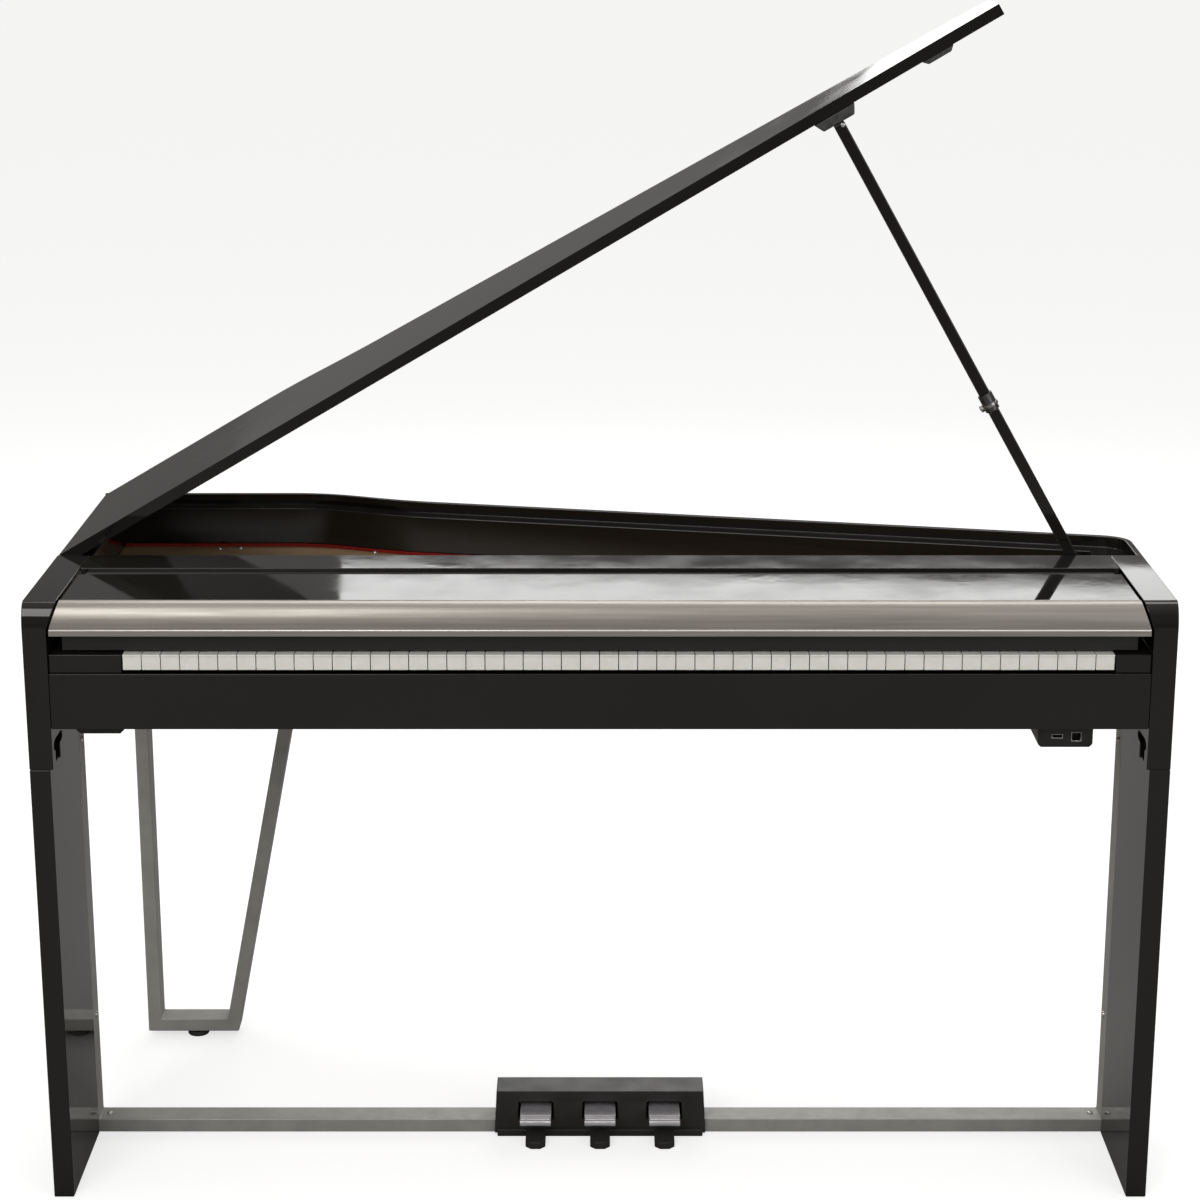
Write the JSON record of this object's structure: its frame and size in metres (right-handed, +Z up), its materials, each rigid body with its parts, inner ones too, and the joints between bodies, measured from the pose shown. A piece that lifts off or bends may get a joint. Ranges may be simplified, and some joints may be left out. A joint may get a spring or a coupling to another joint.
{
  "type": "digital grand piano",
  "caption": "Compact digital grand piano with an open lid on its prop, a closed folding keyboard cover, hinged keys and pedals, on a tube stand.",
  "frame": {"origin": "on the floor, under the centre of the whole piano's bounding box", "axes": "+X to the treble side (the player's right), +Y away from the player, +Z up"},
  "size_m": [1.422, 0.602, 1.5081],
  "materials": {
    "gloss_black": "black polished lacquer over board, mirror-like",
    "satin_black": "satin black moulded plastic",
    "board_inside": "plain wood-fibre board",
    "gold_soundboard": "gold lacquer",
    "red_felt": "red felt edging",
    "silver_front": "satin silver, slightly warm",
    "stand_silver": "silver-grey paint on tube",
    "chrome": "bright plating",
    "plain_steel": "dark plated steel",
    "circuit_board": "green board with black parts",
    "white_keys": "smooth ivory white",
    "black_keys": "satin black"
  },
  "bodies": {
    "case": {"left_arm_side": "gloss_black", "right_arm_side": "gloss_black", "key_slip": "gloss_black", "left_cheek_block": "gloss_black", "right_cheek_block": "gloss_black", "rear_top_strip": "gloss_black", "curved_rim": "gloss_black", "left_leg_panel": "gloss_black", "right_leg_panel": "gloss_black", "cover_hinge_bar": "satin_black", "lid_hinge": "satin_black", "prop_foot_bracket": "satin_black", "headphone_box": "satin_black", "port_box": "satin_black", "rear_foot": "satin_black", "pedal_box": "satin_black", "pedal_foot_plate": "satin_black", "key_bed": "board_inside", "rear_bottom_board": "board_inside", "crossboard": "board_inside", "soundboard_panel": "gold_soundboard", "soundboard_felt": "red_felt", "stand_frame": "stand_silver", "rear_leg_loop": "stand_silver", "key_frame": "plain_steel", "left_speaker": "plain_steel", "right_speaker": "plain_steel", "key_contact_board": "circuit_board", "main_board": "circuit_board", "amplifier_board": "circuit_board"},
    "keyboard_cover": {"cover_top_panel": "gloss_black", "cover_silver_front": "silver_front", "cover_apron": "satin_black"},
    "lid": {"lid_panel": "gloss_black", "prop_cup": "plain_steel", "short_prop_cup": "plain_steel"},
    "prop": {"prop_lower_stick": "gloss_black", "prop_collar": "plain_steel", "prop_upper_stick": "gloss_black"},
    "left_pedal_lever": {"left_pedal": "chrome"},
    "middle_pedal_lever": {"middle_pedal": "chrome"},
    "right_pedal_lever": {"right_pedal": "chrome"},
    "volume_knob_body": {"volume_knob": "silver_front"},
    "power_button_body": {"power_button": "satin_black"},
    "key_C": {"key_C": "white_keys"},
    "key_D": {"key_D": "white_keys"},
    "key_E": {"key_E": "white_keys"},
    "key_F": {"key_F": "white_keys"},
    "key_G": {"key_G": "white_keys"},
    "key_A": {"key_A": "white_keys"},
    "key_B": {"key_B": "white_keys"},
    "key_C_sharp": {"key_C_sharp": "black_keys"},
    "key_D_sharp": {"key_D_sharp": "black_keys"},
    "key_F_sharp": {"key_F_sharp": "black_keys"},
    "key_G_sharp": {"key_G_sharp": "black_keys"},
    "key_A_sharp": {"key_A_sharp": "black_keys"},
    "bass_white_keys": {"bass_white_keys": "white_keys"},
    "bass_black_keys": {"bass_black_keys": "black_keys"},
    "treble_white_keys": {"treble_white_keys": "white_keys"},
    "treble_black_keys": {"treble_black_keys": "black_keys"}
  },
  "joints": [
    {"name": "keyboard_cover_hinge", "type": "hinge", "parent": "case", "child": "keyboard_cover", "pos_m": [0, -0.151, 0.795], "axis": [-1, 0, 0], "range_deg": [0, 105]},
    {"name": "lid_hinge_joint", "type": "hinge", "parent": "case", "child": "lid", "pos_m": [-0.708, 0.099, 0.799], "axis": [0, -1, 0], "range_deg": [0, 35]},
    {"name": "prop_fold", "type": "hinge", "parent": "case", "child": "prop", "pos_m": [0.6435, -0.0505, 0.757], "axis": [0, -1, 0], "range_deg": [0, 60.4]},
    {"name": "left_pedal_hinge", "type": "hinge", "parent": "case", "child": "left_pedal_lever", "pos_m": [-0.0874, -0.093, 0.036], "axis": [1, 0, 0], "range_deg": [0, 8], "stiffness_Nm_per_rad": 6.5, "springref_deg": -5.73},
    {"name": "middle_pedal_hinge", "type": "hinge", "parent": "case", "child": "middle_pedal_lever", "pos_m": [0, -0.093, 0.036], "axis": [1, 0, 0], "range_deg": [0, 8], "stiffness_Nm_per_rad": 6.5, "springref_deg": -5.73},
    {"name": "right_pedal_hinge", "type": "hinge", "parent": "case", "child": "right_pedal_lever", "pos_m": [0.0874, -0.093, 0.036], "axis": [1, 0, 0], "range_deg": [0, 8], "stiffness_Nm_per_rad": 6.5, "springref_deg": -5.73},
    {"name": "volume_knob_turn", "type": "hinge", "parent": "case", "child": "volume_knob_body", "pos_m": [-0.65, -0.231, 0.7353], "axis": [0, 0, 1], "range_deg": [-140, 140]},
    {"name": "power_button_press", "type": "slide", "parent": "case", "child": "power_button_body", "axis": [0, 0, -1], "range_m": [0, 0.002], "stiffness_N_per_m": 800, "springref_m": -0.001},
    {"name": "key_C_hinge", "type": "hinge", "parent": "case", "child": "key_C", "pos_m": [0, -0.089, 0.722], "axis": [1, 0, 0], "range_deg": [0, 2.6], "stiffness_Nm_per_rad": 0.5, "springref_deg": -20.05},
    {"name": "key_D_hinge", "type": "hinge", "parent": "case", "child": "key_D", "pos_m": [0, -0.089, 0.722], "axis": [1, 0, 0], "range_deg": [0, 2.6], "stiffness_Nm_per_rad": 0.5, "springref_deg": -20.05},
    {"name": "key_E_hinge", "type": "hinge", "parent": "case", "child": "key_E", "pos_m": [0, -0.089, 0.722], "axis": [1, 0, 0], "range_deg": [0, 2.6], "stiffness_Nm_per_rad": 0.5, "springref_deg": -20.05},
    {"name": "key_F_hinge", "type": "hinge", "parent": "case", "child": "key_F", "pos_m": [0, -0.089, 0.722], "axis": [1, 0, 0], "range_deg": [0, 2.6], "stiffness_Nm_per_rad": 0.5, "springref_deg": -20.05},
    {"name": "key_G_hinge", "type": "hinge", "parent": "case", "child": "key_G", "pos_m": [0, -0.089, 0.722], "axis": [1, 0, 0], "range_deg": [0, 2.6], "stiffness_Nm_per_rad": 0.5, "springref_deg": -20.05},
    {"name": "key_A_hinge", "type": "hinge", "parent": "case", "child": "key_A", "pos_m": [0, -0.089, 0.722], "axis": [1, 0, 0], "range_deg": [0, 2.6], "stiffness_Nm_per_rad": 0.5, "springref_deg": -20.05},
    {"name": "key_B_hinge", "type": "hinge", "parent": "case", "child": "key_B", "pos_m": [0, -0.089, 0.722], "axis": [1, 0, 0], "range_deg": [0, 2.6], "stiffness_Nm_per_rad": 0.5, "springref_deg": -20.05},
    {"name": "key_C_sharp_hinge", "type": "hinge", "parent": "case", "child": "key_C_sharp", "pos_m": [0, -0.089, 0.722], "axis": [1, 0, 0], "range_deg": [0, 2.6], "stiffness_Nm_per_rad": 0.5, "springref_deg": -20.05},
    {"name": "key_D_sharp_hinge", "type": "hinge", "parent": "case", "child": "key_D_sharp", "pos_m": [0, -0.089, 0.722], "axis": [1, 0, 0], "range_deg": [0, 2.6], "stiffness_Nm_per_rad": 0.5, "springref_deg": -20.05},
    {"name": "key_F_sharp_hinge", "type": "hinge", "parent": "case", "child": "key_F_sharp", "pos_m": [0, -0.089, 0.722], "axis": [1, 0, 0], "range_deg": [0, 2.6], "stiffness_Nm_per_rad": 0.5, "springref_deg": -20.05},
    {"name": "key_G_sharp_hinge", "type": "hinge", "parent": "case", "child": "key_G_sharp", "pos_m": [0, -0.089, 0.722], "axis": [1, 0, 0], "range_deg": [0, 2.6], "stiffness_Nm_per_rad": 0.5, "springref_deg": -20.05},
    {"name": "key_A_sharp_hinge", "type": "hinge", "parent": "case", "child": "key_A_sharp", "pos_m": [0, -0.089, 0.722], "axis": [1, 0, 0], "range_deg": [0, 2.6], "stiffness_Nm_per_rad": 0.5, "springref_deg": -20.05},
    {"name": "bass_white_keys_hinge", "type": "hinge", "parent": "case", "child": "bass_white_keys", "pos_m": [0, -0.089, 0.722], "axis": [1, 0, 0], "range_deg": [0, 2.6], "stiffness_Nm_per_rad": 11.5, "springref_deg": -20.05},
    {"name": "bass_black_keys_hinge", "type": "hinge", "parent": "case", "child": "bass_black_keys", "pos_m": [0, -0.089, 0.722], "axis": [1, 0, 0], "range_deg": [0, 2.6], "stiffness_Nm_per_rad": 8, "springref_deg": -20.05},
    {"name": "treble_white_keys_hinge", "type": "hinge", "parent": "case", "child": "treble_white_keys", "pos_m": [0, -0.089, 0.722], "axis": [1, 0, 0], "range_deg": [0, 2.6], "stiffness_Nm_per_rad": 11, "springref_deg": -20.05},
    {"name": "treble_black_keys_hinge", "type": "hinge", "parent": "case", "child": "treble_black_keys", "pos_m": [0, -0.089, 0.722], "axis": [1, 0, 0], "range_deg": [0, 2.6], "stiffness_Nm_per_rad": 7.5, "springref_deg": -20.05}
  ]
}
